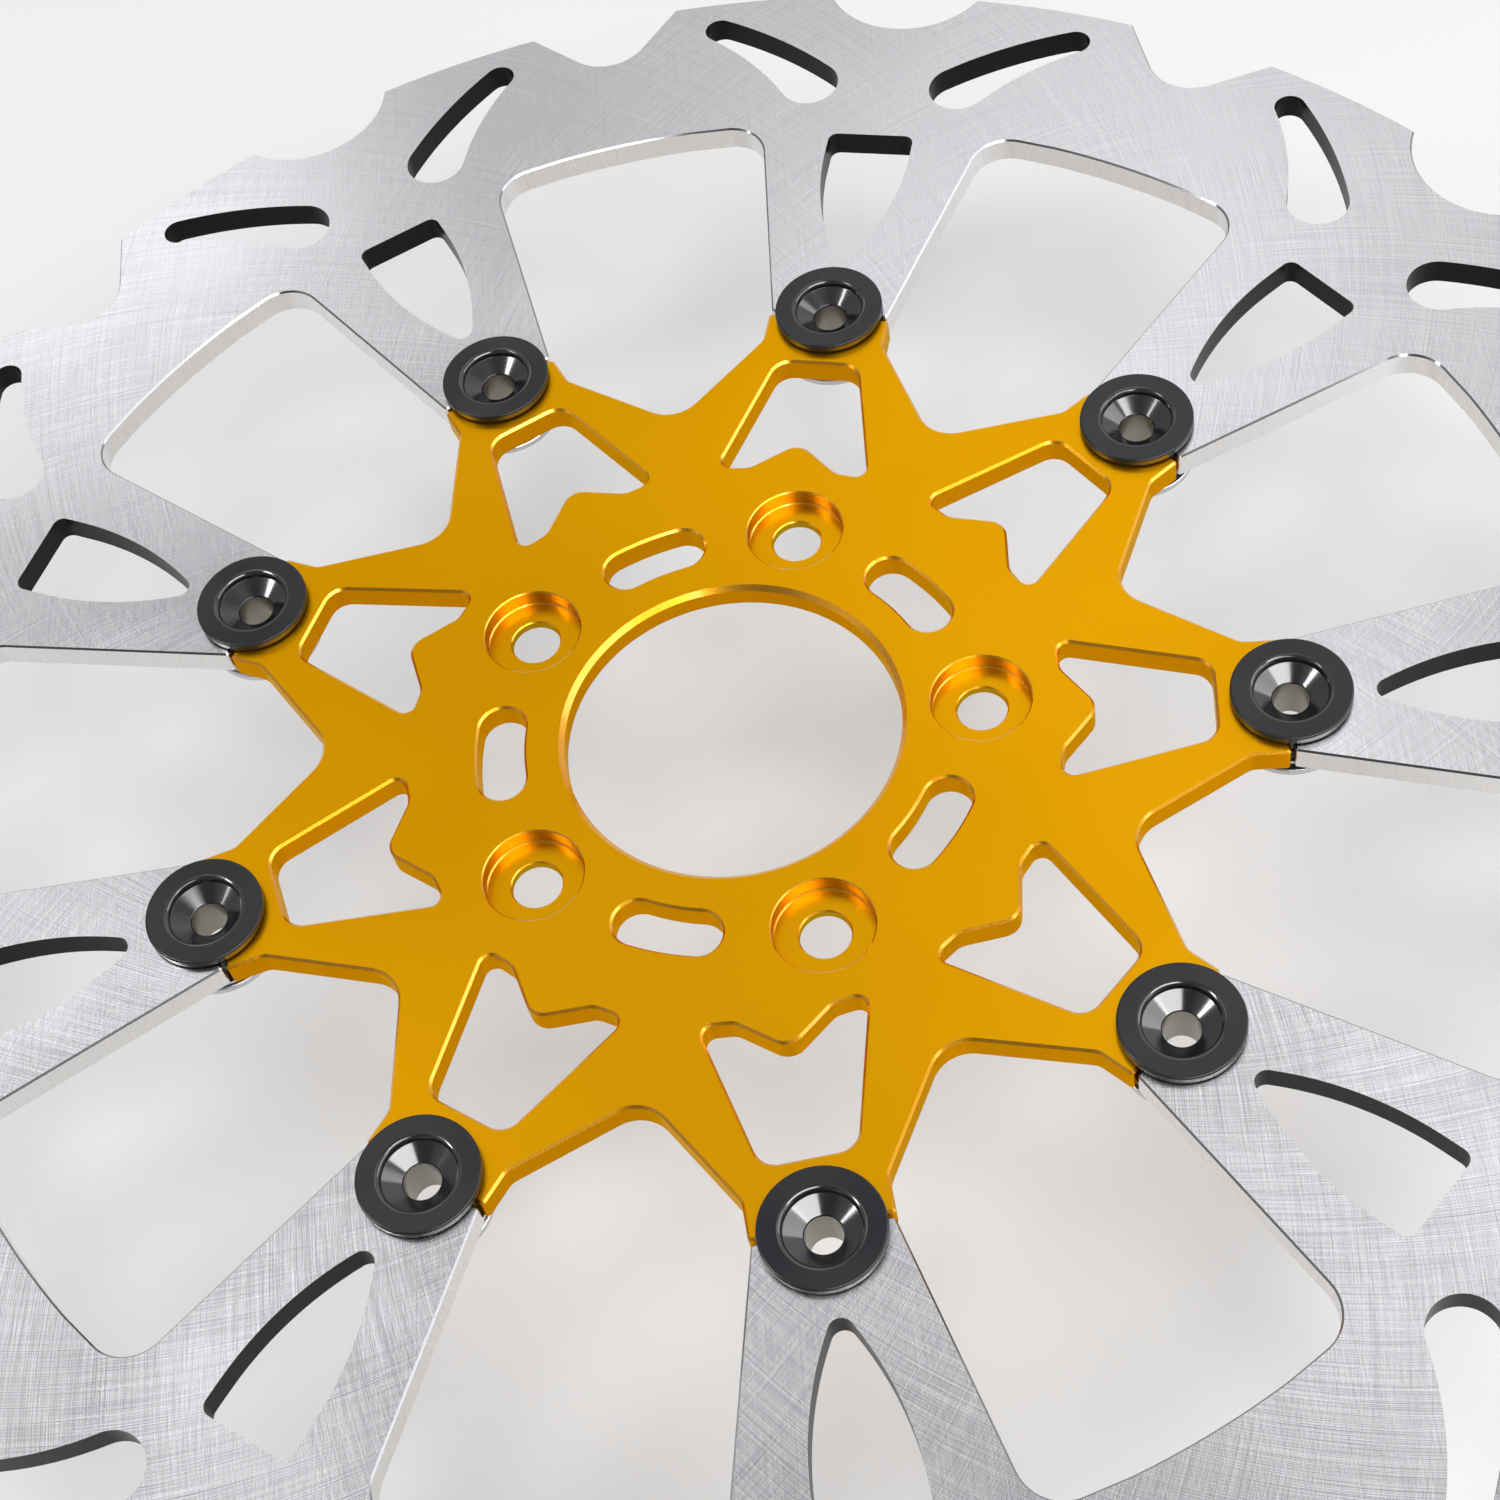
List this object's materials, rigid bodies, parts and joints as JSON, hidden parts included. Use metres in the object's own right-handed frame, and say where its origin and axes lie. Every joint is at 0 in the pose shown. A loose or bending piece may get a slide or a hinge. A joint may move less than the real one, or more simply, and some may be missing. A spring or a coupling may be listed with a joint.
{
  "type": "brake disc rotor",
  "caption": "Floating motorcycle brake disc: gold carrier with arms, wave-edged steel ring with slots and windows, black bobbins joining the two.",
  "frame": {"origin": "on the rotor's axis, level with the lower ends of the bobbins", "axes": "+Z along the rotor's axis to its outer side, where the bolt heads sit; +Y along the arm on the mirror plane"},
  "size_m": [0.3498, 0.3488, 0.0122],
  "materials": {
    "gold_anodised": "gold anodised over a fine satin blast, with bright machined chamfers",
    "ring_steel": "stainless steel, ground, with crossed grinding marks on its faces",
    "black_anodised": "turned and black anodised, semi-gloss",
    "washer_steel": "bright rolled steel",
    "spring_steel": "dark oiled spring steel"
  },
  "bodies": {
    "carrier": {"carrier": "gold_anodised"},
    "ring": {"braking_ring": "ring_steel"},
    "bobbin_set_1": {"bobbin_1": "black_anodised", "wave_washer_1": "washer_steel", "flat_washer_1": "washer_steel", "circlip_1": "spring_steel"},
    "bobbin_set_2": {"bobbin_2": "black_anodised", "wave_washer_2": "washer_steel", "flat_washer_2": "washer_steel", "circlip_2": "spring_steel"},
    "bobbin_set_3": {"bobbin_3": "black_anodised", "wave_washer_3": "washer_steel", "flat_washer_3": "washer_steel", "circlip_3": "spring_steel"},
    "bobbin_set_4": {"bobbin_4": "black_anodised", "wave_washer_4": "washer_steel", "flat_washer_4": "washer_steel", "circlip_4": "spring_steel"},
    "bobbin_set_5": {"bobbin_5": "black_anodised", "wave_washer_5": "washer_steel", "flat_washer_5": "washer_steel", "circlip_5": "spring_steel"},
    "bobbin_set_6": {"bobbin_6": "black_anodised", "wave_washer_6": "washer_steel", "flat_washer_6": "washer_steel", "circlip_6": "spring_steel"},
    "bobbin_set_7": {"bobbin_7": "black_anodised", "wave_washer_7": "washer_steel", "flat_washer_7": "washer_steel", "circlip_7": "spring_steel"},
    "bobbin_set_8": {"bobbin_8": "black_anodised", "wave_washer_8": "washer_steel", "flat_washer_8": "washer_steel", "circlip_8": "spring_steel"},
    "bobbin_set_9": {"bobbin_9": "black_anodised", "wave_washer_9": "washer_steel", "flat_washer_9": "washer_steel", "circlip_9": "spring_steel"}
  },
  "joints": [
    {"name": "ring_float", "type": "slide", "parent": "carrier", "child": "ring", "axis": [0, 0, 1], "range_m": [-0.00025, 0.00025]},
    {"name": "bobbin_1_turn", "type": "hinge", "parent": "carrier", "child": "bobbin_set_1", "pos_m": [0, 0.0909, 0.006], "axis": [0, 0, 1], "continuous": true},
    {"name": "bobbin_2_turn", "type": "hinge", "parent": "carrier", "child": "bobbin_set_2", "pos_m": [0.05843, 0.06963, 0.006], "axis": [0, 0, 1], "continuous": true},
    {"name": "bobbin_3_turn", "type": "hinge", "parent": "carrier", "child": "bobbin_set_3", "pos_m": [0.08952, 0.01579, 0.006], "axis": [0, 0, 1], "continuous": true},
    {"name": "bobbin_4_turn", "type": "hinge", "parent": "carrier", "child": "bobbin_set_4", "pos_m": [0.07872, -0.04545, 0.006], "axis": [0, 0, 1], "continuous": true},
    {"name": "bobbin_5_turn", "type": "hinge", "parent": "carrier", "child": "bobbin_set_5", "pos_m": [0.03109, -0.08542, 0.006], "axis": [0, 0, 1], "continuous": true},
    {"name": "bobbin_6_turn", "type": "hinge", "parent": "carrier", "child": "bobbin_set_6", "pos_m": [-0.03109, -0.08542, 0.006], "axis": [0, 0, 1], "continuous": true},
    {"name": "bobbin_7_turn", "type": "hinge", "parent": "carrier", "child": "bobbin_set_7", "pos_m": [-0.07872, -0.04545, 0.006], "axis": [0, 0, 1], "continuous": true},
    {"name": "bobbin_8_turn", "type": "hinge", "parent": "carrier", "child": "bobbin_set_8", "pos_m": [-0.08952, 0.01579, 0.006], "axis": [0, 0, 1], "continuous": true},
    {"name": "bobbin_9_turn", "type": "hinge", "parent": "carrier", "child": "bobbin_set_9", "pos_m": [-0.05843, 0.06963, 0.006], "axis": [0, 0, 1], "continuous": true}
  ]
}
